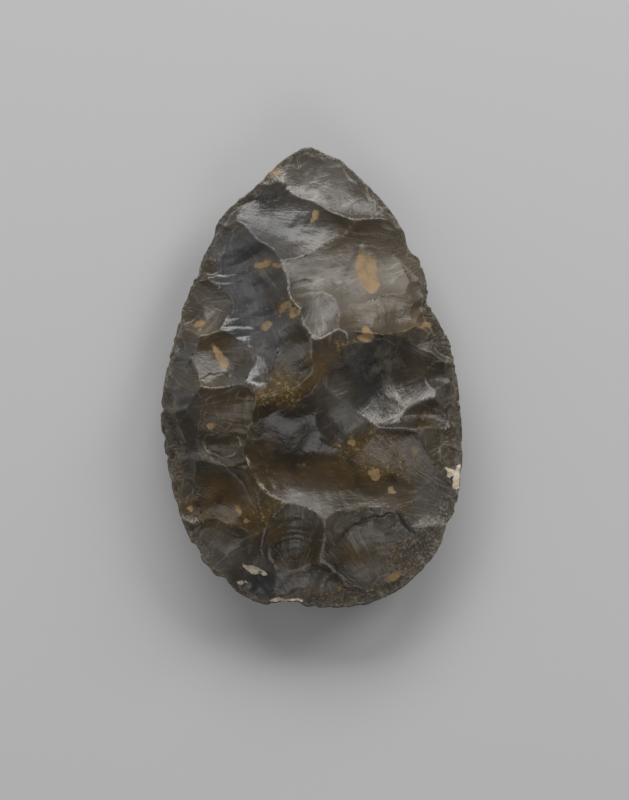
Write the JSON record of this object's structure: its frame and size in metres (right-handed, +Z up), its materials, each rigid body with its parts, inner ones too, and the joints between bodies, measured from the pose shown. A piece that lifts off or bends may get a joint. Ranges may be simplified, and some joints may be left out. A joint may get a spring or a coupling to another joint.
{
  "type": "stone hand axe",
  "caption": "Pear-shaped flint hand axe, flaked over both faces to a pointed tip, a rounded butt and a sharp sinuous edge all round.",
  "frame": {"origin": "middle of the length and breadth, on the surface that the axe lies on", "axes": "+Y towards the tip, +Z up through the domed face, +X to the right as the domed face is seen with the tip up"},
  "size_m": [0.0919, 0.14, 0.037],
  "materials": {
    "flint": "dark brown-grey translucent flint with a soft gloss, slate-blue and lilac-grey patina in some scars, tan mottles and a little cream cortex at the edge"
  },
  "bodies": {
    "root": {"hand_axe": "flint"}
  },
  "joints": []
}
